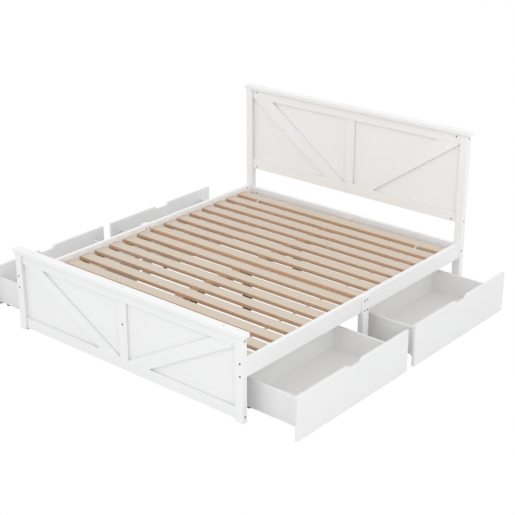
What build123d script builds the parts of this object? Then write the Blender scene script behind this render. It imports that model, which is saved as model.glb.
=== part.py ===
from build123d import *
import os

os.makedirs("parts", exist_ok=True)

# A platform bed with four storage drawers on casters. Millimetres, X across, Y from foot to head, Z up.

# Frame
frame_width = 1750
frame_length = 2110
post_width = 52
edge_round = 1.5

# Foot and head boards: posts, framed panel and cap. Both show their face towards the foot.
boards = {
    "foot": {
        "front": -frame_length / 2,
        "post_depth": 34,
        "post_height": 485,
        "low_rail": (12, 78.5),
        "top_rail": (425, 485),
        "cap_front_overhang": 8,
        "cap_depth": 54,
    },
    "head": {
        "front": frame_length / 2 - 39,
        "post_depth": 39,
        "post_height": 1047,
        "low_rail": (482, 549),
        "top_rail": (984, 1047),
        "cap_front_overhang": 8.5,
        "cap_depth": 55.5,
    },
}
board_setback = 10
board_rail_thickness = 24
brace_thickness = 14
panel_thickness = 8
stile_width = 66
brace_top_outer = 815
brace_top_inner = 654
brace_low_outer = 194
cap_thickness = 26
cap_side_overhang = 10
cap_round = 3
plug_spacing = 732
plug_radius = 7
plug_hole_depth = 8

# Side rails, cross rails and middle legs
rail_thickness = 25
rail_inset = 9.5
rail_bottom = 254
rail_top = 355
head_cross_rail_span = (244, 344)
foot_cross_rail_span = (224, 324)
head_cross_rail_front = 1020
mid_leg_outset = 9
mid_leg_thickness = 36
mid_leg_width = 54

# Slats and what carries them
slat_count = 16
slat_pitch = 122.6
slat_width = 76
slat_thickness = 24
slat_end_gap = 2.5
slat_bottom = 302
first_slat_front = -962
slat_round = 3
cleat_thickness = 20
cleat_height = 40
beam_height = 38
mid_beam_width = 70
centre_beam_width = 64
centre_leg_size = 44
centre_leg_spacing = 490
centre_leg_round = 4
strap_x = 645
strap_width = 16
strap_thickness = 1.2
strap_lap = 50
strap_notch = (20, 1.6)

# Drawers: overlay fronts on a smaller box that rolls on four casters
front_length = 974
front_height = 252
front_thickness = 18
front_bottom = 4
front_round = 2
drawer_y = {"foot": -526, "head": 518}
drawer_open = {"left": 360, "right": 314}
notch_top_width = 128
notch_low_width = 92
notch_depth = 21
notch_low_round = 12
notch_top_round = 7
box_length = 800
box_reach = 440
box_bottom = 21
box_top = 190
board_thickness = 12
floor_top = 50
floor_thickness = 6
wheel_radius = 20
wheel_thickness = 12
wheel_round = 2.5
axle_radius = 3
axle_clearance = 0.05
caster_inset = 20.5
caster_setbacks = {"front": 72, "rear": 408}
plate_length = 34
plate_width = 17
plate_thickness = 2
cheek_gap = 0.5
cheek_thickness = 1.5
cheek_length = 16
cheek_bottom = 12

# Fasteners: socket bolts with recessed heads, and the barrel nuts or sleeve nuts that they pull on
bolt_radius = 3
bolt_hole_radius = 3.5
head_radius = 6
head_hole_radius = 6.5
head_height = 6
head_hole_depth = 8
socket_radius = 3
socket_depth = 3
nut_radius = 5
nut_hole_radius = 5.3
nut_distance = 35
nut_past_axis = 5
nut_recess = 1
nut_thread_radius = 3.2
tip_past_nut = 8
foot_bolt_y = -1035
foot_bolt_heights = (34, 466)
head_bolt_y = 1035
head_bolt_heights = (497, 1028)
cross_rail_bolt_y = 1032
cross_rail_bolt_height = 302
rail_bolt_x = 856
rail_bolt_heights = (268.5, 340)
mid_leg_bolt_y = 13
mid_leg_bolt_heights = (268, 330)
mid_leg_bolt_grip = 30
sleeve_length = 20
sleeve_hole_depth = 22
beam_bolt_height = 290
beam_bolt_grip = 60

# Places worked out from the dimensions above
half_width = frame_width / 2
post_inner = half_width - post_width
post_x = half_width - post_width / 2
rail_outer = half_width - rail_inset
rail_inner = rail_outer - rail_thickness
rail_x = rail_outer - rail_thickness / 2
foot_inner = boards["foot"]["front"] + boards["foot"]["post_depth"]
head_inner = boards["head"]["front"]
head_outer = frame_length / 2
foot_cross_rail_back = foot_inner + rail_thickness
head_cross_rail_back = head_cross_rail_front + rail_thickness
mid_leg_outer = half_width + mid_leg_outset
front_top = front_bottom + front_height
slat_top = slat_bottom + slat_thickness
last_slat_front = first_slat_front + (slat_count - 1) * slat_pitch
bed_x = (drawer_open["left"] - drawer_open["right"]) / 2  # centres the drawers' spread on the origin
sides = {"left": -1, "right": 1}


def level(height):
    return Plane((bed_x, 0, height))


def across(y):  # upright plane that faces the foot: its own x is X and its own y is Z
    return Plane((bed_x, y, 0), x_dir=(1, 0, 0), z_dir=(0, -1, 0))


def along(x):  # upright plane that faces +X: its own x is Y and its own y is Z
    return Plane((bed_x + x, 0, 0), x_dir=(0, 1, 0), z_dir=(1, 0, 0))


def write(piece, name):
    piece.part.label = name
    export_step(piece.part, f"parts/{name}.step")


class Bolt:
    # A bolt whose head sits in a recess at a point, with a barrel nut put in from a nearby face,
    # or a sleeve nut put in from the face opposite its head

    def __init__(self, at, into, grip, nut_face=None, nut_cover=0, sleeve_face=None):
        self.at = Vector(bed_x, 0, 0) + Vector(at)
        self.into = Vector(into)
        self.grip = grip
        self.nut_face = Vector(nut_face) if nut_face else None
        self.nut_cover = nut_cover
        self.length = grip + nut_distance + tip_past_nut if nut_face else grip
        self.nut_centre = self.at + self.into * (grip + nut_distance)
        if sleeve_face:
            across_wood = abs(self.at.X - bed_x) - sleeve_face
            self.sleeve_start = self.at + self.into * across_wood
        else:
            self.sleeve_start = None

    def drill(self):
        with Locations(Plane(self.at, z_dir=-self.into)):
            CounterBoreHole(bolt_hole_radius, head_hole_radius, head_hole_depth, depth=self.length)
        if self.nut_face:
            with Locations(Plane(self.nut_centre + self.nut_face * self.nut_cover, z_dir=self.nut_face)):
                Hole(nut_hole_radius, depth=self.nut_cover + nut_past_axis)
        if self.sleeve_start:
            with Locations(Plane(self.sleeve_start, z_dir=self.into)):
                Hole(nut_hole_radius, depth=sleeve_hole_depth)


def drill(bolts):
    for bolt in bolts:
        bolt.drill()


foot_bolts = []
head_bolts = []
rail_end_bolts = []
mid_leg_bolts = []
to_foot = (0, -1, 0)
to_head = (0, 1, 0)
board_face = head_inner + board_setback
for side in sides.values():
    inward = (-side, 0, 0)
    post_side = side * half_width
    for height in foot_bolt_heights:
        at = (post_side, foot_bolt_y, height)
        foot_bolts.append(Bolt(at, inward, post_width, to_head, foot_inner - foot_bolt_y))
    for height in head_bolt_heights:
        at = (post_side, head_bolt_y, height)
        head_bolts.append(Bolt(at, inward, post_width, to_foot, head_bolt_y - board_face))
    at = (post_side, cross_rail_bolt_y, cross_rail_bolt_height)
    head_bolts.append(Bolt(at, inward, post_width, to_foot, cross_rail_bolt_y - head_cross_rail_front))
    for height in rail_bolt_heights:
        cover = rail_bolt_x - rail_inner
        at = (side * rail_bolt_x, boards["foot"]["front"], height)
        rail_end_bolts.append(Bolt(at, to_head, boards["foot"]["post_depth"], inward, cover))
        at = (side * rail_bolt_x, head_outer, height)
        rail_end_bolts.append(Bolt(at, to_foot, boards["head"]["post_depth"], inward, cover))
    for height in mid_leg_bolt_heights:
        for y in (-mid_leg_bolt_y, mid_leg_bolt_y):
            at = (side * mid_leg_outer, y, height)
            mid_leg_bolts.append(Bolt(at, inward, mid_leg_bolt_grip, sleeve_face=rail_inner))
stile_face = boards["foot"]["front"] + board_setback
foot_beam_bolt = Bolt((0, stile_face, beam_bolt_height), to_head, beam_bolt_grip)
head_beam_bolt = Bolt((0, head_cross_rail_back, beam_bolt_height), to_foot, beam_bolt_grip)
nutted_bolts = foot_bolts + head_bolts + rail_end_bolts
all_bolts = nutted_bolts + mid_leg_bolts + [foot_beam_bolt, head_beam_bolt]

# Boards: two posts, two rails, a stile, two braces, a panel and a cap each
for board_name, board in boards.items():
    front = board["front"]
    face = front + board_setback
    low_bottom, low_top = board["low_rail"]
    top_bottom, top_top = board["top_rail"]
    board_bolts = foot_bolts if board_name == "foot" else head_bolts

    for side_name, side in sides.items():
        with BuildPart() as post:
            with BuildSketch(level(0)):
                with Locations((side * post_x, front + board["post_depth"] / 2)):
                    Rectangle(post_width, board["post_depth"])
            extrude(amount=board["post_height"])
            fillet(post.edges().filter_by(Axis.Z), edge_round)
            drill(board_bolts + rail_end_bolts)
        write(post, f"{board_name}_post_{side_name}")

    for rail_name, bottom, top in (("low_rail", low_bottom, low_top), ("top_rail", top_bottom, top_top)):
        with BuildPart() as board_rail:
            with BuildSketch(across(face)):
                with Locations((0, (bottom + top) / 2)):
                    Rectangle(2 * post_inner, top - bottom)
            extrude(amount=-board_rail_thickness)
            fillet(board_rail.edges().filter_by(Axis.X), edge_round)
            drill(board_bolts)
        write(board_rail, f"{board_name}_{rail_name}")

    with BuildPart() as stile:
        with BuildSketch(across(face)):
            with Locations((0, (low_top + top_bottom) / 2)):
                Rectangle(stile_width, top_bottom - low_top)
        extrude(amount=-brace_thickness)
        fillet(stile.edges().filter_by(Axis.Z), edge_round)
        if board_name == "foot":
            foot_beam_bolt.drill()
    write(stile, f"{board_name}_stile")

    with BuildPart() as braces:
        for side in sides.values():
            with BuildSketch(across(face)):
                with BuildLine():
                    Polyline(
                        (side * brace_top_inner, top_bottom),
                        (side * brace_top_outer, top_bottom),
                        (side * brace_low_outer, low_top),
                        (side * stile_width / 2, low_top),
                        close=True,
                    )
                make_face()
            extrude(amount=-brace_thickness)
    write(braces, f"{board_name}_braces")

    with BuildPart() as panel:
        with BuildSketch(across(face + brace_thickness)):
            with Locations((0, (low_top + top_bottom) / 2)):
                Rectangle(2 * post_inner, top_bottom - low_top)
        extrude(amount=-panel_thickness)
        if board_name == "foot":
            foot_beam_bolt.drill()
    write(panel, f"{board_name}_panel")

    cap_y = front - board["cap_front_overhang"] + board["cap_depth"] / 2
    cap_top = board["post_height"] + cap_thickness
    with BuildPart() as cap:
        with BuildSketch(level(board["post_height"])):
            with Locations((0, cap_y)):
                Rectangle(frame_width + 2 * cap_side_overhang, board["cap_depth"])
        extrude(amount=cap_thickness)
        fillet(cap.edges(), cap_round)
        with Locations(level(cap_top)):
            with Locations((0, cap_y)):
                with GridLocations(plug_spacing, 0, 3, 1):
                    Hole(plug_radius, depth=plug_hole_depth)
    write(cap, f"{board_name}_cap")

# Plugs that close the screw holes in the two caps
with BuildPart() as cap_plugs:
    for board in boards.values():
        cap_y = board["front"] - board["cap_front_overhang"] + board["cap_depth"] / 2
        cap_top = board["post_height"] + cap_thickness
        with BuildSketch(level(cap_top - plug_hole_depth)):
            with Locations((0, cap_y)):
                with GridLocations(plug_spacing, 0, 3, 1):
                    Circle(plug_radius - 0.2)
        extrude(amount=plug_hole_depth - 0.5)
write(cap_plugs, "cap_plugs")

# Side rails, two to a side, meeting on the middle legs
for side_name, side in sides.items():
    for end_name, start, stop in (("foot", foot_inner, 0), ("head", 0, head_inner)):
        with BuildPart() as side_rail:
            with BuildSketch(level(rail_bottom)):
                with Locations((side * rail_x, (start + stop) / 2)):
                    Rectangle(rail_thickness, stop - start)
            extrude(amount=rail_top - rail_bottom)
            fillet(side_rail.edges().filter_by(Axis.Y), edge_round)
            drill(rail_end_bolts + mid_leg_bolts)
        write(side_rail, f"side_rail_{side_name}_{end_name}")

# Cross rails: one between the head posts, and one behind the footboard that stays below the slat tops
bottom, top = head_cross_rail_span
with BuildPart() as head_cross_rail:
    with BuildSketch(across(head_cross_rail_front)):
        with Locations((0, (bottom + top) / 2)):
            Rectangle(2 * post_inner, top - bottom)
    extrude(amount=-rail_thickness)
    fillet(head_cross_rail.edges().filter_by(Axis.X), edge_round)
    drill(head_bolts + [head_beam_bolt])
write(head_cross_rail, "head_cross_rail")

bottom, top = foot_cross_rail_span
with BuildPart() as foot_cross_rail:
    with BuildSketch(across(foot_inner)):
        with Locations((0, (bottom + top) / 2)):
            Rectangle(2 * rail_inner, top - bottom)
    extrude(amount=-rail_thickness)
    fillet(foot_cross_rail.edges().filter_by(Axis.X), edge_round)
    foot_beam_bolt.drill()
write(foot_cross_rail, "foot_cross_rail")

# Middle legs, rebated so that the rails stand on their shoulders
with BuildPart() as mid_legs:
    for side in sides.values():
        with BuildSketch(across(mid_leg_width / 2)):
            with BuildLine():
                Polyline(
                    (side * (mid_leg_outer - mid_leg_thickness), 0),
                    (side * mid_leg_outer, 0),
                    (side * mid_leg_outer, rail_top),
                    (side * rail_outer, rail_top),
                    (side * rail_outer, rail_bottom),
                    (side * (mid_leg_outer - mid_leg_thickness), rail_bottom),
                    close=True,
                )
            make_face()
        extrude(amount=mid_leg_width)
    outer_edges = mid_legs.edges().filter_by(Axis.Z).group_by(Axis.X)
    fillet(outer_edges[0] + outer_edges[-1], edge_round)
    drill(mid_leg_bolts)
write(mid_legs, "mid_legs")

# Cleats under the slat ends, interrupted by the middle cross beam
cleat_spans = (
    (foot_cross_rail_back, -mid_beam_width / 2),
    (mid_beam_width / 2, head_inner),
)
with BuildPart() as slat_cleats:
    for side in sides.values():
        for start, stop in cleat_spans:
            with BuildSketch(level(slat_bottom - cleat_height)):
                with Locations((side * (rail_inner - cleat_thickness / 2), (start + stop) / 2)):
                    Rectangle(cleat_thickness, stop - start)
            extrude(amount=cleat_height)
write(slat_cleats, "slat_cleats")

# Beams under the slats: one across the middle, and one lengthwise in two halves
with BuildPart() as mid_cross_beam:
    with BuildSketch(level(slat_bottom - beam_height)):
        Rectangle(2 * rail_inner, mid_beam_width)
    extrude(amount=beam_height)
    with BuildSketch(level(slat_bottom)):
        with GridLocations(2 * strap_x, 0, 2, 1):
            Rectangle(strap_notch[0], mid_beam_width)
    extrude(amount=-strap_notch[1], mode=Mode.SUBTRACT)
write(mid_cross_beam, "mid_cross_beam")

beam_spans = (
    (foot_cross_rail_back, -mid_beam_width / 2),
    (mid_beam_width / 2, head_cross_rail_front),
)
with BuildPart() as centre_beam:
    for start, stop in beam_spans:
        with BuildSketch(level(slat_bottom - beam_height)):
            with Locations((0, (start + stop) / 2)):
                Rectangle(centre_beam_width, stop - start)
        extrude(amount=beam_height)
    drill([foot_beam_bolt, head_beam_bolt])
write(centre_beam, "centre_beam")

with BuildPart() as centre_legs:
    with BuildSketch(level(0)):
        with GridLocations(0, centre_leg_spacing, 1, 3):
            RectangleRounded(centre_leg_size, centre_leg_size, centre_leg_round)
    extrude(amount=slat_bottom - beam_height)
write(centre_legs, "centre_legs")

# Slats
slat_length = 2 * (rail_inner - slat_end_gap)
slat_middle = (first_slat_front + last_slat_front + slat_width) / 2
with BuildPart() as slats:
    with BuildSketch(level(slat_bottom)):
        with Locations((0, slat_middle)):
            with GridLocations(0, slat_pitch, 1, slat_count):
                Rectangle(slat_length, slat_width)
    extrude(amount=slat_thickness)
    fillet(slats.edges().filter_by(Axis.X), slat_round)
write(slats, "slats")

# Webbing that spaces the slats: under all but the end slats, then slanting up and lapped over those
first_slat_back = first_slat_front + slat_width
second_slat_front = first_slat_front + slat_pitch
second_last_slat_back = last_slat_front - slat_pitch + slat_width
with BuildPart() as slat_straps:
    for side in sides.values():
        with BuildSketch(along(side * strap_x - strap_width / 2)):
            with BuildLine():
                Polyline(
                    (first_slat_back - strap_lap, slat_top),
                    (first_slat_back, slat_top),
                    (second_slat_front, slat_bottom - strap_thickness),
                    (second_last_slat_back, slat_bottom - strap_thickness),
                    (last_slat_front, slat_top),
                    (last_slat_front + strap_lap, slat_top),
                    (last_slat_front + strap_lap, slat_top + strap_thickness),
                    (last_slat_front, slat_top + strap_thickness),
                    (second_last_slat_back, slat_bottom),
                    (second_slat_front, slat_bottom),
                    (first_slat_back, slat_top + strap_thickness),
                    (first_slat_back - strap_lap, slat_top + strap_thickness),
                    close=True,
                )
            make_face()
        extrude(amount=strap_width)
write(slat_straps, "slat_straps")

# Drawers
for side_name, side in sides.items():
    reach = mid_leg_outer + drawer_open[side_name]
    inner_face = reach - front_thickness
    box_back = reach - box_reach
    wall_depth = inner_face - box_back
    for end_name, middle in drawer_y.items():
        drawer = f"drawer_{side_name}_{end_name}"

        with BuildPart() as drawer_front:
            with BuildSketch(along(side * reach)):
                with Locations((middle, front_bottom + front_height / 2)):
                    Rectangle(front_length, front_height)
                with BuildLine():
                    Polyline(
                        (middle - notch_top_width / 2, front_top),
                        (middle - notch_low_width / 2, front_top - notch_depth),
                        (middle + notch_low_width / 2, front_top - notch_depth),
                        (middle + notch_top_width / 2, front_top),
                        close=True,
                    )
                make_face(mode=Mode.SUBTRACT)
            extrude(amount=-side * front_thickness)
            notch = (middle - notch_top_width, middle + notch_top_width)
            notch_edges = drawer_front.edges().filter_by(Axis.X).filter_by_position(Axis.Y, *notch)
            fillet(notch_edges.group_by(Axis.Z)[0], notch_low_round)
            notch_edges = drawer_front.edges().filter_by(Axis.X).filter_by_position(Axis.Y, *notch)
            fillet(notch_edges.group_by(Axis.Z)[-1], notch_top_round)
            show_face = drawer_front.faces().sort_by(Axis.X)[-1 if side > 0 else 0]
            fillet(show_face.edges(), front_round)
        write(drawer_front, f"{drawer}_front")

        with BuildPart() as drawer_sides:
            with BuildSketch(level(box_bottom)):
                with Locations((side * (inner_face - wall_depth / 2), middle)):
                    with GridLocations(0, box_length - board_thickness, 1, 2):
                        Rectangle(wall_depth, board_thickness)
            extrude(amount=box_top - box_bottom)
            fillet(drawer_sides.edges().filter_by(Axis.X).group_by(Axis.Z)[-1], edge_round)
        write(drawer_sides, f"{drawer}_sides")

        with BuildPart() as drawer_back:
            with BuildSketch(level(box_bottom)):
                with Locations((side * (box_back + board_thickness / 2), middle)):
                    Rectangle(board_thickness, box_length - 2 * board_thickness)
            extrude(amount=box_top - box_bottom)
            fillet(drawer_back.edges().filter_by(Axis.Y).group_by(Axis.Z)[-1], edge_round)
        write(drawer_back, f"{drawer}_back")

        floor_depth = wall_depth - board_thickness
        with BuildPart() as drawer_floor:
            with BuildSketch(level(floor_top)):
                with Locations((side * (inner_face - floor_depth / 2), middle)):
                    Rectangle(floor_depth, box_length - 2 * board_thickness)
            extrude(amount=-floor_thickness)
        write(drawer_floor, f"{drawer}_floor")

        caster_spread = box_length - 2 * caster_inset
        cheek_offset = wheel_thickness / 2 + cheek_gap + cheek_thickness / 2
        floor_underside = floor_top - floor_thickness
        plate_bottom = floor_underside - plate_thickness
        with BuildPart() as casters:
            for setback in caster_setbacks.values():
                caster_x = side * (reach - setback)
                with BuildSketch(level(floor_underside)):
                    with Locations((caster_x, middle)):
                        with GridLocations(0, caster_spread, 1, 2):
                            Rectangle(plate_length, plate_width)
                extrude(amount=-plate_thickness)
                with BuildSketch(level(cheek_bottom)):
                    with Locations((caster_x, middle)):
                        with GridLocations(0, caster_spread, 1, 2):
                            with GridLocations(0, 2 * cheek_offset, 1, 2):
                                Rectangle(cheek_length, cheek_thickness)
                extrude(amount=plate_bottom - cheek_bottom)
                for end in (-1, 1):
                    axle_y = middle + end * caster_spread / 2 + cheek_offset
                    with BuildSketch(across(axle_y)):
                        with Locations((caster_x, wheel_radius)):
                            Circle(axle_radius)
                    extrude(amount=2 * cheek_offset)
        write(casters, f"{drawer}_casters")

        for caster_name, setback in caster_setbacks.items():
            with BuildPart() as wheels:
                for end in (-1, 1):
                    wheel_y = middle + end * caster_spread / 2 + wheel_thickness / 2
                    with BuildSketch(across(wheel_y)):
                        with Locations((side * (reach - setback), wheel_radius)):
                            Circle(wheel_radius)
                    extrude(amount=wheel_thickness)
                fillet(wheels.edges(), wheel_round)
                with Locations(across(middle)):
                    with Locations((side * (reach - setback), wheel_radius)):
                        Hole(axle_radius + axle_clearance, depth=box_length)
            write(wheels, f"{drawer}_wheels_{caster_name}")

# Fasteners, each group as separate solids in one node
with BuildPart() as frame_bolts:
    for bolt in all_bolts:
        recess = head_hole_depth - head_height
        with BuildSketch(Plane(bolt.at + bolt.into * recess, z_dir=bolt.into)):
            Circle(head_radius)
        extrude(amount=head_height)
        with BuildSketch(Plane(bolt.at + bolt.into * head_hole_depth, z_dir=bolt.into)):
            Circle(bolt_radius)
        extrude(amount=bolt.length - head_hole_depth)
        with BuildSketch(Plane(bolt.at + bolt.into * recess, z_dir=bolt.into)):
            RegularPolygon(socket_radius, 6)
        extrude(amount=socket_depth, mode=Mode.SUBTRACT)
write(frame_bolts, "frame_bolts")

with BuildPart() as barrel_nuts:
    for bolt in nutted_bolts:
        nut_start = bolt.nut_centre + bolt.nut_face * (bolt.nut_cover - nut_recess)
        with BuildSketch(Plane(nut_start, z_dir=-bolt.nut_face)):
            Circle(nut_radius)
        extrude(amount=bolt.nut_cover - nut_recess + nut_past_axis)
        with Locations(Plane(bolt.nut_centre, z_dir=bolt.into)):
            Hole(nut_thread_radius, depth=2 * nut_radius)
    for bolt in mid_leg_bolts:
        nut_start = bolt.sleeve_start - bolt.into * nut_recess
        with BuildSketch(Plane(nut_start, z_dir=-bolt.into)):
            Circle(nut_radius)
            Circle(nut_thread_radius, mode=Mode.SUBTRACT)
        extrude(amount=sleeve_length)
write(barrel_nuts, "barrel_nuts")
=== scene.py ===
import bpy
import bmesh
import math
import random
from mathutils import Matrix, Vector


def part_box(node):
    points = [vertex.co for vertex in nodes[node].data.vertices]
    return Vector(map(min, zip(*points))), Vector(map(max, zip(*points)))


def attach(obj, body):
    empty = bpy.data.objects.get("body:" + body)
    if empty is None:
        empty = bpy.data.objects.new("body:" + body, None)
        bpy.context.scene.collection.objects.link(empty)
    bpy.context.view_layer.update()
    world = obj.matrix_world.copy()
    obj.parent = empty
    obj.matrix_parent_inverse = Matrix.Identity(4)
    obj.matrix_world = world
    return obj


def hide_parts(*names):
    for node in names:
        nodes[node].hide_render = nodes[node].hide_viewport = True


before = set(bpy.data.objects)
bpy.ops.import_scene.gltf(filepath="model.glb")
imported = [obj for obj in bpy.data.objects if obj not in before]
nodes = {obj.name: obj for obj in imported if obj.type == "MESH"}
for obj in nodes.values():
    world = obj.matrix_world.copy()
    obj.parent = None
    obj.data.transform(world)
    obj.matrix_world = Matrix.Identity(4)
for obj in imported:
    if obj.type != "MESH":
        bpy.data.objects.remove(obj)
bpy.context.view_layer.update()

random.seed(11)
deckLow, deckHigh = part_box("slats")
bedX = (deckLow.x + deckHigh.x) / 2  # the bed's own centre line
print("frame loaded,", len(nodes), "nodes")


class Wire:  # one shader value that can stand in a sum
    def __init__(self, finish, socket):
        self.finish = finish
        self.socket = socket

    def pick(self, name):  # another output of the same node
        return Wire(self.finish, self.socket.node.outputs[name])

    def combine(self, operation, other, swapped=False):
        first, second = (other, self) if swapped else (self, other)
        return self.finish.add("ShaderNodeMath", {"operation": operation}, {0: first, 1: second})

    def __add__(self, other):
        return self.combine("ADD", other)

    def __radd__(self, other):
        return self.combine("ADD", other, True)

    def __sub__(self, other):
        return self.combine("SUBTRACT", other)

    def __rsub__(self, other):
        return self.combine("SUBTRACT", other, True)

    def __mul__(self, other):
        return self.combine("MULTIPLY", other)

    def __rmul__(self, other):
        return self.combine("MULTIPLY", other, True)

    def __truediv__(self, other):
        return self.combine("DIVIDE", other)

    def __rtruediv__(self, other):
        return self.combine("DIVIDE", other, True)

    def __pow__(self, other):
        return self.combine("POWER", other)

    def __gt__(self, other):
        return self.combine("GREATER_THAN", other)

    def __lt__(self, other):
        return self.combine("LESS_THAN", other)

    def __abs__(self):
        return self.combine("ABSOLUTE", 0.0)


class Finish:  # a material being made
    def __init__(self, name):
        self.material = bpy.data.materials.new(name)
        self.material.use_nodes = True
        self.tree = self.material.node_tree
        self.shader = self.tree.nodes["Principled BSDF"]
        self.place = self.add("ShaderNodeTexCoord").pick("Object")

    def add(self, kind, settings=None, values=None, output=0):
        node = self.tree.nodes.new(kind)
        for key, value in (settings or {}).items():
            if key == "stops":
                self.setStops(node.color_ramp, value)
            else:
                setattr(node, key, value)
        for key, value in (values or {}).items():
            self.feed(node.inputs[key], value)
        return Wire(self, node.outputs[output])

    def feed(self, socket, value):
        if isinstance(value, Wire):
            self.tree.links.new(value.socket, socket)
        elif isinstance(value, (tuple, list)) and len(value) == 3 and socket.type == "RGBA":
            socket.default_value = (*value, 1)
        else:
            socket.default_value = value

    def setStops(self, ramp, stops):
        while len(ramp.elements) < len(stops):
            ramp.elements.new(1)
        for element, (position, shade) in zip(ramp.elements, stops):
            element.position = position
            element.color = (shade, shade, shade, 1)

    def shade(self, **values):  # Base_Color=... goes to the shader's Base Color
        for key, value in values.items():
            self.feed(self.shader.inputs[key.replace("_", " ")], value)

    def stretched(self, scale, shift=None):  # object space, scaled on each axis
        moved = self.add("ShaderNodeVectorMath", {"operation": "MULTIPLY"}, {0: self.place, 1: scale})
        if shift is None:
            return moved
        return self.add("ShaderNodeVectorMath", {"operation": "ADD"}, {0: moved, 1: shift})

    def noise(self, scale, detail=2.0, rough=0.5, shift=None):
        return self.add("ShaderNodeTexNoise", None, {
            "Vector": self.stretched(scale, shift), "Scale": 1.0, "Detail": detail, "Roughness": rough})

    def ramp(self, value, *stops):
        return self.add("ShaderNodeValToRGB", {"stops": stops}, {"Fac": value})

    def blend(self, mask, first, second, how="MIX"):
        settings = {"data_type": "RGBA", "blend_type": how}
        return self.add("ShaderNodeMix", settings, {0: mask, 6: first, 7: second}, 2)

    def bump(self, height, distance, strength=1.0, under=None):
        values = {"Height": height, "Distance": distance, "Strength": strength}
        if under is not None:
            values["Normal"] = under
        return self.add("ShaderNodeBump", None, values)

    def axis(self, name, source=None):  # one part of a vector
        return self.add("ShaderNodeSeparateXYZ", None, {0: source or self.place}).pick(name)


paint = {
    "colour": (0.905, 0.908, 0.914),
    "colourDeep": (0.888, 0.890, 0.893),  # where the coat lies thicker
    "roughness": 0.42,
    "grainDepth": 0.00005,  # grain that shows through the paint, metres
    "peelDepth": 0.00002,
    "frontShadedColour": (0.850, 0.852, 0.856),  # painted shade: the drawer fronts take a greyer copy of the same white paint
    "frontShadedDeep": (0.835, 0.836, 0.838),
    "paintedCornerShade": (0.755, 0.755, 0.752),  # painted shade on the inner corners and step faces of the framed boards
    "framedHalf": 0.8245,  # from the centre line to the posts' inner faces
}


def paintedWood(name, along, framed=False, colours=("colour", "colourDeep")):
    finish = Finish(name)
    scale = [55.0, 55.0, 55.0]
    scale["XYZ".index(along)] = 2.2
    grain = finish.noise(tuple(scale), 4, 0.6)
    cloud = finish.noise((1.7, 1.7, 1.7), 3, 0.55)
    peel = finish.noise((420, 420, 420), 1)
    mask = finish.ramp(cloud * 0.6 + grain * 0.4, (0.35, 0), (0.68, 1))
    grainBump = finish.bump(grain, paint["grainDepth"])
    colour = finish.blend(mask, paint[colours[0]], paint[colours[1]])
    # Painted shade: between the posts, faces of the framed boards that don't face along Y take a darker
    # grey, as shadow lines in the corners
    if framed:
        facing = finish.add("ShaderNodeTexCoord").pick("Normal")
        inside = abs(finish.axis("X") - bedX) < paint["framedHalf"]
        corner = (abs(finish.axis("Y", facing)) < 0.5) * inside
        colour = finish.blend(corner, colour, paint["paintedCornerShade"])
    finish.shade(
        Base_Color=colour,
        Roughness=paint["roughness"] + (peel - 0.5) * 0.12 + (cloud - 0.5) * 0.1,
        Normal=finish.bump(peel, paint["peelDepth"], 1, grainBump),
        Specular_IOR_Level=0.4,
    )
    return finish.material


laminate = {
    "colour": (0.872, 0.872, 0.872),
    "fleck": (0.838, 0.837, 0.834),
    "roughness": 0.5,
}


def drawerLaminate():
    finish = Finish("drawer_laminate")
    fibre = finish.noise((260, 18, 260), 3, 0.6)
    cloud = finish.noise((4, 4, 4), 2)
    mask = finish.ramp(fibre * 0.7 + cloud * 0.3, (0.42, 0), (0.7, 1))
    finish.shade(
        Base_Color=finish.blend(mask, laminate["colour"], laminate["fleck"]),
        Roughness=laminate["roughness"] + (fibre - 0.5) * 0.15,
        Normal=finish.bump(fibre, 0.00005),
        Specular_IOR_Level=0.35,
    )
    return finish.material


pine = {
    "early": (0.715, 0.635, 0.545),
    "late": (0.60, 0.50, 0.395),
    "edge": (0.72, 0.485, 0.325),  # sawn edges are browner than the planed face
    "edgeDeep": (0.56, 0.355, 0.225),
    "endGrain": (0.50, 0.36, 0.25),
    "ringPitch": 0.0065,
    "knot": (0.33, 0.19, 0.10),
    "roughness": 0.58,
}


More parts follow.
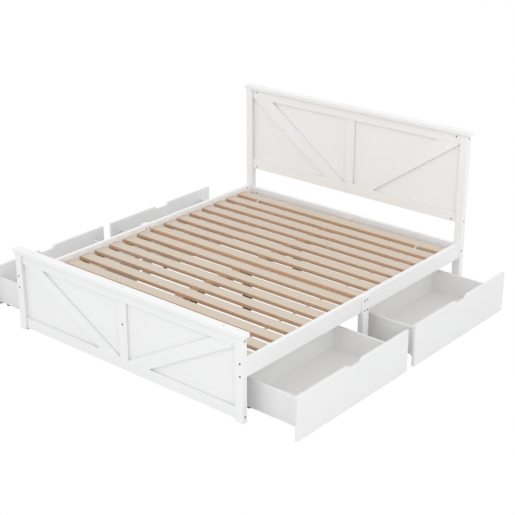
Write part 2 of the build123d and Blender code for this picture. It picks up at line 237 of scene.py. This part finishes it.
def pineWood(name, along, boardPitch, boardStart):
    # Each board takes its own piece of the log: its number picks a shift and a tone
    finish = Finish(name)
    across = "Y" if along == "X" else "X"
    along3 = {"X": (1, 0, 0), "Y": (0, 1, 0)}[along]
    lane = finish.axis(across)
    number = finish.add("ShaderNodeMath", {"operation": "FLOOR"}, {0: (lane - boardStart) / boardPitch})
    chance = finish.add("ShaderNodeTexWhiteNoise", {"noise_dimensions": "1D"}, {"W": number})
    tone = chance.pick("Value")
    shift = {0: chance.pick("Color"), "Scale": 30.0}
    spread = finish.add("ShaderNodeVectorMath", {"operation": "SCALE"}, shift)
    # Rings: bands across the board, drawn out along it and bent by slow noise
    slow = tuple(1.3 if part else 9.0 for part in along3)
    bend = finish.noise(slow, 2, 0.5, spread)
    wander = finish.noise(tuple(5.0 if part else 40.0 for part in along3), 2, 0.5, spread)
    height = finish.axis("Z")
    ringPlace = lane + height * 0.8 + (bend - 0.5) * 0.085 + (wander - 0.5) * 0.010
    turn = ringPlace * (2 * math.pi / pine["ringPitch"])
    band = finish.add("ShaderNodeMath", {"operation": "SINE"}, {0: turn}) * 0.5 + 0.5
    band = band ** 2.2
    fibre = finish.noise(tuple(14.0 if part else 700.0 for part in along3), 3, 0.6, spread)
    # Knots: a few small round ones
    knotPlace = finish.stretched(tuple(3.0 if part else 7.0 for part in along3), spread)
    knots = finish.add("ShaderNodeTexVoronoi", {"feature": "F1"}, {"Vector": knotPlace, "Scale": 1.0})
    knotMask = finish.ramp(knots.pick("Distance"), (0.02, 1), (0.055, 0))
    face = finish.blend(band * 0.5 + fibre * 0.25, pine["early"], pine["late"])
    face = finish.blend(knotMask * 0.45, face, pine["knot"])
    face = finish.blend(tone * 0.16, face, (1.0, 0.93, 0.80), "MULTIPLY")
    face = finish.blend((1 - tone) * 0.10, face, (0.86, 0.88, 0.92), "MULTIPLY")
    # Sawn edges and ends, told apart by which way the surface faces
    facing = finish.add("ShaderNodeTexCoord").pick("Normal")
    edgeMask = finish.ramp(abs(finish.axis(across, facing)), (0.45, 0), (0.9, 1))
    endMask = finish.ramp(abs(finish.axis(along, facing)), (0.45, 0), (0.9, 1))
    saw = finish.noise(tuple(150.0 if part else 30.0 for part in along3), 3, 0.6, spread)
    sawn = finish.ramp(saw * 0.6 + fibre * 0.4, (0.35, 0), (0.7, 1))
    edge = finish.blend(sawn, pine["edge"], pine["edgeDeep"])
    colour = finish.blend(edgeMask, face, edge)
    colour = finish.blend(endMask, colour, finish.blend(band, pine["endGrain"], pine["edgeDeep"]))
    finish.shade(
        Base_Color=colour,
        Roughness=pine["roughness"] + (fibre - 0.5) * 0.2 + edgeMask * 0.12,
        Normal=finish.bump(band * 0.35 + fibre * 0.4 + saw * edgeMask * 0.8, 0.0004),
        Specular_IOR_Level=0.3,
    )
    return finish.material


webbing = {
    "colour": (0.78, 0.785, 0.80),
    "shade": (0.55, 0.56, 0.58),
    "thread": 0.0013,  # width of one woven thread
}


def webbingTape():
    finish = Finish("webbing_tape")
    step = math.pi / webbing["thread"]
    warp = finish.add("ShaderNodeMath", {"operation": "SINE"}, {0: finish.axis("X") * step})
    lengthways = finish.axis("Y") + finish.axis("Z")
    weft = finish.add("ShaderNodeMath", {"operation": "SINE"}, {0: lengthways * step})
    weave = warp * weft * 0.5 + 0.5
    fuzz = finish.noise((900, 900, 900), 2)
    finish.shade(
        Base_Color=finish.blend(weave * 0.7 + fuzz * 0.2, webbing["shade"], webbing["colour"]),
        Roughness=0.82 + (fuzz - 0.5) * 0.2,
        Normal=finish.bump(weave + fuzz * 0.3, 0.0005),
        Sheen_Weight=0.25,
        Specular_IOR_Level=0.2,
    )
    return finish.material


metal = {
    "nut": (0.33, 0.195, 0.115),
    "nutDull": (0.15, 0.09, 0.055),
    "leg": (0.028, 0.026, 0.025),
    "legWorn": (0.055, 0.05, 0.047),
    "bracket": (0.075, 0.058, 0.047),
    "bracketWorn": (0.13, 0.105, 0.085),
    "steel": (0.56, 0.55, 0.53),
}


def bronzedSteel():
    finish = Finish("bronzed_fastener")
    patch = finish.noise((180, 180, 180), 3, 0.6)
    scratch = finish.noise((900, 900, 90), 2)
    mask = finish.ramp(patch * 0.7 + scratch * 0.3, (0.4, 0), (0.65, 1))
    finish.shade(
        Base_Color=finish.blend(mask, metal["nut"], metal["nutDull"]),
        Metallic=0.6 + patch * 0.2,
        Roughness=0.42 + (scratch - 0.5) * 0.3,
        Normal=finish.bump(scratch, 0.00005),
    )
    return finish.material


def powderCoat(name, colour, worn, rough):
    finish = Finish(name)
    grit = finish.noise((650, 650, 650), 2, 0.6)
    patch = finish.noise((9, 9, 9), 3, 0.6)
    mask = finish.ramp(patch * 0.7 + grit * 0.3, (0.45, 0), (0.75, 1))
    finish.shade(
        Base_Color=finish.blend(mask, colour, worn),
        Roughness=rough + (grit - 0.5) * 0.25,
        Normal=finish.bump(grit, 0.0001),
        Specular_IOR_Level=0.45,
    )
    return finish.material


def brightSteel():
    finish = Finish("bright_steel")
    scratch = finish.noise((60, 900, 900), 3, 0.6)
    finish.shade(
        Base_Color=finish.blend(scratch, metal["steel"], (0.42, 0.41, 0.40)),
        Metallic=0.9,
        Roughness=0.3 + (scratch - 0.5) * 0.25,
        Normal=finish.bump(scratch, 0.00003),
    )
    return finish.material


plastic = {
    "wheel": (0.040, 0.030, 0.025),
    "wheelDusty": (0.12, 0.10, 0.088),
    "plug": (0.74, 0.74, 0.735),
    "plugShade": (0.62, 0.62, 0.615),
}


def wheelPlastic():
    finish = Finish("wheel_plastic")
    dust = finish.noise((70, 70, 70), 4, 0.65)
    pits = finish.noise((800, 800, 800), 1)
    mask = finish.ramp(dust, (0.5, 0), (0.8, 1))
    finish.shade(
        Base_Color=finish.blend(mask * 0.7, plastic["wheel"], plastic["wheelDusty"]),
        Roughness=0.45 + mask * 0.3 + (pits - 0.5) * 0.1,
        Normal=finish.bump(pits, 0.00006),
    )
    return finish.material


def plugPlastic():
    finish = Finish("plug_plastic")
    pits = finish.noise((500, 500, 500), 2)
    finish.shade(
        Base_Color=finish.blend(pits, plastic["plug"], plastic["plugShade"]),
        Roughness=0.5 + (pits - 0.5) * 0.2,
        Normal=finish.bump(pits, 0.00005),
    )
    return finish.material


slatCount = 16
slatWidth = 0.076
slatPitch = (deckHigh.y - deckLow.y - slatWidth) / (slatCount - 1)
laneStart = deckLow.y - (slatPitch - slatWidth) / 2

paintX = paintedWood("white_paint_across", "X")
paintY = paintedWood("white_paint_lengthwise", "Y")
paintZ = paintedWood("white_paint_upright", "Z")
# Painted shade: a greyer copy of the white paint for the drawer fronts
paintFrontShaded = paintedWood("drawer_front_paint_shaded", "Y", colours=("frontShadedColour", "frontShadedDeep"))
framedX = paintedWood("framed_paint_across", "X", True)
framedZ = paintedWood("framed_paint_upright", "Z", True)
laminateWhite = drawerLaminate()
slatPine = pineWood("slat_pine", "X", slatPitch, laneStart)
beamPine = pineWood("beam_pine", "Y", 0.2, bedX - 0.1)
crossPine = pineWood("cross_beam_pine", "X", 0.2, -0.1)
tape = webbingTape()
bronze = bronzedSteel()
legBlack = powderCoat("black_leg", metal["leg"], metal["legWorn"], 0.5)
bracketBrown = powderCoat("caster_bracket", metal["bracket"], metal["bracketWorn"], 0.45)
steel = brightSteel()
wheelDark = wheelPlastic()
plugWhite = plugPlastic()
print("finishes made")


def dress(name, material):
    mesh = nodes[name].data
    mesh.materials.clear()
    mesh.materials.append(material)


for name in nodes:
    if "_post_" in name or name.endswith("_stile"):
        dress(name, framedZ)
    elif name == "mid_legs":
        dress(name, paintZ)
    elif name.endswith(("_braces", "_low_rail", "_top_rail")):
        dress(name, framedX)
    elif name.startswith("side_rail"):
        dress(name, paintY)
    elif name.startswith("drawer") and name.endswith("_front"):
        dress(name, paintFrontShaded)
    elif name.startswith("drawer"):
        dress(name, laminateWhite)
    elif name.startswith(("foot_", "head_")):
        dress(name, paintX)
dress("cap_plugs", plugWhite)
dress("frame_bolts", bronze)
dress("barrel_nuts", bronze)
dress("centre_legs", legBlack)
dress("slat_cleats", beamPine)
dress("centre_beam", beamPine)
dress("mid_cross_beam", crossPine)
print("packed parts dressed")


def pieceFrom(bm, name, material, body, standsFor=()):
    mesh = bpy.data.meshes.new(name)
    bmesh.ops.recalc_face_normals(bm, faces=bm.faces)
    bm.to_mesh(mesh)
    bm.free()
    mesh.materials.append(material)
    piece = bpy.data.objects.new(name, mesh)
    bpy.context.scene.collection.objects.link(piece)
    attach(piece, body)
    for node in standsFor:
        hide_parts(node)
    return piece


def smooth(piece, degrees=40):
    for face in piece.data.polygons:
        face.use_smooth = True
    piece.data.set_sharp_from_angle(angle=math.radians(degrees))


def addBox(bm, low, high):
    spans = [(low[i], high[i]) for i in range(3)]
    corners = [Vector((x, y, z)) for x in spans[0] for y in spans[1] for z in spans[2]]
    verts = [bm.verts.new(corner) for corner in corners]
    for ring in ((0, 1, 3, 2), (4, 6, 7, 5), (0, 4, 5, 1), (2, 3, 7, 6), (0, 2, 6, 4), (1, 5, 7, 3)):
        bm.faces.new([verts[i] for i in ring])
    return verts


def addTurned(bm, centre, profile, steps=48):  # closed profile of (radius, y), turned about Y
    rings = []
    for step in range(steps):
        angle = 2 * math.pi * step / steps
        turned = [Vector((r * math.cos(angle), y, r * math.sin(angle))) for r, y in profile]
        rings.append([bm.verts.new(centre + point) for point in turned])
    for step in range(steps):
        near, far = rings[step], rings[(step + 1) % steps]
        for i in range(len(profile)):
            j = (i + 1) % len(profile)
            bm.faces.new((near[i], near[j], far[j], far[i]))


def addPlate(bm, outline, low, high, place):
    # A flat outline between two levels; place turns (a, b, level) into a point
    count = len(outline)
    under = [bm.verts.new(place(a, b, low)) for a, b in outline]
    over = [bm.verts.new(place(a, b, high)) for a, b in outline]
    bm.faces.new(under)
    bm.faces.new(over)
    for i in range(count):
        j = (i + 1) % count
        bm.faces.new((under[i], under[j], over[j], over[i]))


slatMake = {
    "arris": 0.003,  # rounded long edges
    "endArris": 0.0012,
    "cut": 0.0008,  # how much the sawn lengths differ
    "bow": 0.0007,  # how far a board is bent sideways or up in its middle
    "pieces": 24,
}


def makeSlat(index):
    start = deckLow.y + index * slatPitch
    low = Vector((deckLow.x + random.uniform(0, slatMake["cut"]), start, deckLow.z))
    high = Vector((deckHigh.x - random.uniform(0, slatMake["cut"]), start + slatWidth, deckHigh.z))
    bm = bmesh.new()
    addBox(bm, low, high)
    for isLong, offset, segments in ((True, slatMake["arris"], 4), (False, slatMake["endArris"], 2)):
        edges = [e for e in bm.edges if (abs(e.verts[0].co.x - e.verts[1].co.x) > 0.1) == isLong]
        if not isLong:
            edges = [e for e in edges if abs(e.verts[0].co.x - e.verts[1].co.x) < 1e-6]
        bmesh.ops.bevel(bm, geom=edges, offset=offset, segments=segments, affect="EDGES", profile=0.5)
    for cut in range(1, slatMake["pieces"]):
        x = low.x + (high.x - low.x) * cut / slatMake["pieces"]
        everything = bm.verts[:] + bm.edges[:] + bm.faces[:]
        bmesh.ops.bisect_plane(bm, geom=everything, plane_co=(x, 0, 0), plane_no=(1, 0, 0))
    sideways = random.uniform(-1, 1) * slatMake["bow"]
    for vert in bm.verts:
        share = (vert.co.x - low.x) / (high.x - low.x)
        vert.co.y += sideways * math.sin(math.pi * share)
    slat = pieceFrom(bm, f"slat_{index + 1:02d}", slatPine, "frame", ["slats"])
    smooth(slat, 50)


for index in range(slatCount):
    makeSlat(index)
print("slats made")

strapMake = {
    "sag": 0.0012,  # how far the tape hangs between two slats
    "cornerTurn": 0.004,  # how far from a slat's edge the tape starts to bend
    "staple": 0.010,
    "wire": 0.0008,
    "endStaple": 0.008,  # from the tape's end to its last staple
}
strapLow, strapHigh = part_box("slat_straps")
strapWidth = 0.016
strapThick = 0.0012


def strapPath():
    # The tape's middle line, in (y, z): over the first slat, under the others and up over the last one
    topZ = deckHigh.z + strapThick / 2
    lowZ = deckLow.z - strapThick / 2
    firstBack = deckLow.y + slatWidth
    lastFront = deckHigh.y - slatWidth
    secondFront = deckLow.y + slatPitch
    secondLastBack = lastFront - slatPitch + slatWidth
    turn = strapMake["cornerTurn"]
    path = [(strapLow.y, topZ)]
    path += bendPath((firstBack - 0.02, topZ), (firstBack, topZ), (secondFront, lowZ), turn)
    path += bendPath((firstBack, topZ), (secondFront, lowZ), (secondFront + 0.02, lowZ), turn)
    for index in range(1, slatCount - 2):
        start = deckLow.y + index * slatPitch + slatWidth
        gap = slatPitch - slatWidth
        for part in (0.0, 0.2, 0.5, 0.8, 1.0):
            path.append((start + gap * part, lowZ - strapMake["sag"] * math.sin(math.pi * part)))
    path += bendPath((secondLastBack - 0.02, lowZ), (secondLastBack, lowZ), (lastFront, topZ), turn)
    path += bendPath((secondLastBack, lowZ), (lastFront, topZ), (lastFront + 0.02, topZ), turn)
    path.append((strapHigh.y, topZ))
    return [Vector((0, y, z)) for y, z in path]


def bendPath(before, corner, after, turn):  # a corner of the tape's line, as five points on a small curve
    start = Vector(corner).lerp(Vector(before), turn / (Vector(before) - Vector(corner)).length)
    end = Vector(corner).lerp(Vector(after), turn / (Vector(after) - Vector(corner)).length)
    return [
        tuple(start * (1 - t) ** 2 + Vector(corner) * 2 * t * (1 - t) + end * t ** 2)
        for t in (0, 0.25, 0.5, 0.75, 1)
    ]


def makeStrap(side, name):
    path = strapPath()
    bm = bmesh.new()
    rings = []
    for i, point in enumerate(path):
        before = path[max(i - 1, 0)]
        after = path[min(i + 1, len(path) - 1)]
        run = (after - before).normalized()
        normal = Vector((0, -run.z, run.y)) * strapThick / 2
        ring = []
        for offset, up in ((-1, -1), (1, -1), (1, 1), (-1, 1)):
            sideways = Vector((side + offset * strapWidth / 2, 0, 0))
            ring.append(bm.verts.new(point + sideways + normal * up))
        rings.append(ring)
    for near, far in zip(rings, rings[1:]):
        for i in range(4):
            j = (i + 1) % 4
            bm.faces.new((near[i], near[j], far[j], far[i]))
    bm.faces.new(rings[0])
    bm.faces.new(rings[-1])
    strap = pieceFrom(bm, name, tape, "frame", ["slat_straps"])
    smooth(strap, 50)


def makeStaples(sides):
    bm = bmesh.new()
    half = strapMake["staple"] / 2
    wire = strapMake["wire"]
    for side in sides:
        for index in range(slatCount):
            y = deckLow.y + index * slatPitch + slatWidth / 2
            if index in (0, slatCount - 1):
                inset = strapMake["endStaple"]
                y = strapLow.y + inset if index == 0 else strapHigh.y - inset
                z = deckHigh.z + strapThick
                addBox(bm, (side - half, y - wire / 2, z), (side + half, y + wire / 2, z + wire))
            else:
                z = deckLow.z - strapThick
                addBox(bm, (side - half, y - wire / 2, z - wire), (side + half, y + wire / 2, z))
    bmesh.ops.bevel(bm, geom=bm.edges[:], offset=wire * 0.25, segments=2, affect="EDGES")
    pieceFrom(bm, "strap_staples", steel, "frame")


strapSides = (strapLow.x + strapWidth / 2, strapHigh.x - strapWidth / 2)
makeStrap(strapSides[0], "strap_left")
makeStrap(strapSides[1], "strap_right")
makeStaples(strapSides)
print("straps made")

casterMake = {
    "wheelRadius": 0.020,
    "wheelHalf": 0.006,
    "boreRadius": 0.00305,
    "hubRadius": 0.0068,
    "rimRadius": 0.0150,
    "webHalf": 0.0032,
    "treadCrown": 0.0006,
    "cheek": 0.0015,  # thickness of the plates on both sides of a wheel
    "cheekGap": 0.0005,
    "cheekEnd": 0.0078,  # radius of their round ends
    "cheekTop": 0.013,  # half their width at the top plate
    "axleRadius": 0.003,
    "axleHalf": 0.0078,
    "rivet": 0.0042,
    "screw": 0.0028,
    "screwHigh": 0.0006,
    "screwAlong": 0.0145,  # from the axle to the screws
    "screwAside": 0.0045,
    "plate": 0.002,
    "plateLength": 0.034,
    "plateWidth": 0.017,
    "plateRound": 0.003,
}


def wheelProfile():
    half = casterMake["wheelHalf"]
    outer = casterMake["wheelRadius"]
    web = casterMake["webHalf"]
    bore, hub, rim = casterMake["boreRadius"], casterMake["hubRadius"], casterMake["rimRadius"]
    oneSide = [
        (bore, half - 0.0005),
        (bore + 0.0006, half),
        (hub - 0.0005, half),
        (hub, half - 0.0006),
        (hub + 0.0009, web + 0.0005),
        (hub + 0.0018, web),
        (rim - 0.0012, web),
        (rim - 0.0004, web + 0.0006),
        (rim, half - 0.0006),
        (rim + 0.0006, half),
        (outer - 0.0022, half),
        (outer - 0.0009, half - 0.0006),
        (outer - casterMake["treadCrown"] / 2, half - 0.0018),
        (outer, 0.0012),
    ]
    return oneSide + [(r, -y) for r, y in reversed(oneSide)]


def bracketOutline(axleX, axleZ, top):  # wide at the plate, narrowing to a round end about the axle
    half, end = casterMake["cheekTop"], casterMake["cheekEnd"]
    points = [(axleX + half, top), (axleX - half, top)]
    for step in range(9):
        angle = math.radians(200 + 140 * step / 8)
        points.append((axleX + end * math.cos(angle), axleZ + end * math.sin(angle)))
    return points


def plateOutline(x, y):  # a rectangle with rounded corners
    bend = casterMake["plateRound"]
    reachX = casterMake["plateLength"] / 2 - bend
    reachY = casterMake["plateWidth"] / 2 - bend
    outline = []
    for cx, cy, start in ((1, 1, 0), (-1, 1, 90), (-1, -1, 180), (1, -1, 270)):
        for step in range(4):
            angle = math.radians(start + 30 * step)
            px = x + cx * reachX + bend * math.cos(angle)
            py = y + cy * reachY + bend * math.sin(angle)
            outline.append((px, py))
    return outline


def makeBracket(bm, x, y, z, top):  # plate, cheeks, rivets, screws and axle, about the axle's middle
    plate = casterMake["plate"]
    rivet, screw = casterMake["rivet"], casterMake["screw"]
    addPlate(bm, plateOutline(x, y), top - plate, top, lambda a, b, level: Vector((a, b, level)))
    outline = bracketOutline(x, z, top - plate)
    for cheek in (-1, 1):
        inner = y + cheek * (casterMake["wheelHalf"] + casterMake["cheekGap"])
        outer = inner + cheek * casterMake["cheek"]
        addPlate(bm, outline, inner, outer, lambda a, b, level: Vector((a, level, b)))
        addTurned(bm, Vector((x, outer, z)), [
            (0.0002, 0.00035 * cheek),
            (rivet * 0.6, 0.0003 * cheek),
            (rivet, 0.00005 * cheek),
            (rivet, -0.0004 * cheek),
            (0.0002, -0.0004 * cheek),
        ], 20)
        for reach in (-1, 1):
            headX = x + reach * casterMake["screwAlong"]
            headY = y + cheek * casterMake["screwAside"]
            turns = [k * math.pi / 6 for k in range(12)]
            ring = [(headX + screw * math.cos(a), headY + screw * math.sin(a)) for a in turns]
            low = top - plate - casterMake["screwHigh"]
            addPlate(bm, ring, low, top - plate, lambda a, b, level: Vector((a, b, level)))
    radius, half = casterMake["axleRadius"], casterMake["axleHalf"]
    axle = [(0.0002, -half), (radius, -half), (radius, half), (0.0002, half)]
    addTurned(bm, Vector((x, y, z)), axle, 20)


def makeCasters(drawer):
    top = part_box(f"{drawer}_casters")[1].z
    half = casterMake["wheelHalf"]
    brackets = bmesh.new()
    for end in ("front", "rear"):
        node = f"{drawer}_wheels_{end}"
        low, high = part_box(node)
        x, z = (low.x + high.x) / 2, (low.z + high.z) / 2
        bm = bmesh.new()
        for y in (low.y + half, high.y - half):
            makeBracket(brackets, x, y, z, top)
            addTurned(bm, Vector((x, y, z)), wheelProfile(), 56)
        wheels = pieceFrom(bm, f"{drawer}_rollers_{end}", wheelDark, node, [node])
        smooth(wheels, 35)
    name = f"{drawer}_brackets"
    bracket = pieceFrom(brackets, name, bracketBrown, drawer, [f"{drawer}_casters"])
    smooth(bracket, 35)


fronts = [name for name in nodes if name.startswith("drawer") and name.endswith("_front")]
drawers = [name[:-6] for name in fronts if "wheels" not in name]
for drawer in drawers:
    makeCasters(drawer)
print("casters made for", len(drawers), "drawers")

stageLook = {
    "floorColour": (0.80, 0.80, 0.80),
    "floorGlow": 1.0,
    "skyTop": 0.80,
    "skySide": 1.30,
    "keyPower": 42,
    "keySize": 4.0,
    "keyPlace": (4.4, -3.2, 4.0),
}


def makeFloor():  # shows pure white, yet lights the bed only as a pale diffuse floor does
    bm = bmesh.new()
    bmesh.ops.create_grid(bm, x_segments=1, y_segments=1, size=40)
    mesh = bpy.data.meshes.new("floor")
    bm.to_mesh(mesh)
    bm.free()
    floor = bpy.data.objects.new("floor", mesh)
    bpy.context.scene.collection.objects.link(floor)
    floor.location.z = -0.0005
    finish = Finish("pale_floor")
    finish.shade(Base_Color=stageLook["floorColour"], Roughness=0.9, Specular_IOR_Level=0.0)
    seen = finish.add("ShaderNodeLightPath").pick("Is Camera Ray")
    bright = {"Color": (1, 1, 1), "Strength": stageLook["floorGlow"]}
    glow = finish.add("ShaderNodeEmission", None, bright)
    diffuse = Wire(finish, finish.shader.outputs[0])
    mixed = finish.add("ShaderNodeMixShader", None, {0: seen, 1: diffuse, 2: glow})
    finish.tree.links.new(mixed.socket, finish.tree.nodes["Material Output"].inputs["Surface"])
    mesh.materials.append(finish.material)


def makeLight():
    world = bpy.data.worlds.new("soft_studio")
    bpy.context.scene.world = world
    world.use_nodes = True
    tree = world.node_tree
    background = tree.nodes["Background"]
    background.inputs["Color"].default_value = (1, 1, 1, 1)
    # Brighter at the sides than overhead, as among white studio walls
    place = tree.nodes.new("ShaderNodeTexCoord")
    parts = tree.nodes.new("ShaderNodeSeparateXYZ")
    glow = tree.nodes.new("ShaderNodeMapRange")
    glow.inputs["To Min"].default_value = stageLook["skySide"]
    glow.inputs["To Max"].default_value = stageLook["skyTop"]
    tree.links.new(place.outputs["Generated"], parts.inputs[0])
    tree.links.new(parts.outputs["Z"], glow.inputs["Value"])
    tree.links.new(glow.outputs[0], background.inputs["Strength"])
    light = bpy.data.lights.new("key", "AREA")
    light.size = stageLook["keySize"]
    light.energy = stageLook["keyPower"]
    key = bpy.data.objects.new("key", light)
    bpy.context.scene.collection.objects.link(key)
    key.location = Vector((bedX, 0, 0)) + Vector(stageLook["keyPlace"])
    aim = Vector((bedX, 0, 0.3)) - key.location
    key.rotation_euler = aim.to_track_quat("-Z", "Y").to_euler()


cameraSetup = {
    "azimuth": 40.16,  # degrees round from the footboard
    "elevation": 22.73,
    "distance": 7.3004,
    "lens": 84.44,
    "aim": (0.0482, 0.0407, 0.3513),  # from the bed's centre line at floor level
}


def makeCamera():
    azimuth = math.radians(cameraSetup["azimuth"])
    elevation = math.radians(cameraSetup["elevation"])
    back = Vector((
        math.sin(azimuth) * math.cos(elevation),
        -math.cos(azimuth) * math.cos(elevation),
        math.sin(elevation),
    ))
    lens = bpy.data.cameras.new("camera")
    lens.lens = cameraSetup["lens"]
    lens.sensor_width = 36
    lens.clip_end = 200
    camera = bpy.data.objects.new("camera", lens)
    bpy.context.scene.collection.objects.link(camera)
    camera.location = Vector((bedX, 0, 0)) + Vector(cameraSetup["aim"]) + back * cameraSetup["distance"]
    camera.rotation_euler = (-back).to_track_quat("-Z", "Y").to_euler()
    bpy.context.scene.camera = camera


makeFloor()
makeLight()
makeCamera()
bpy.context.scene.view_settings.view_transform = "Standard"
print("stage, light and camera set")
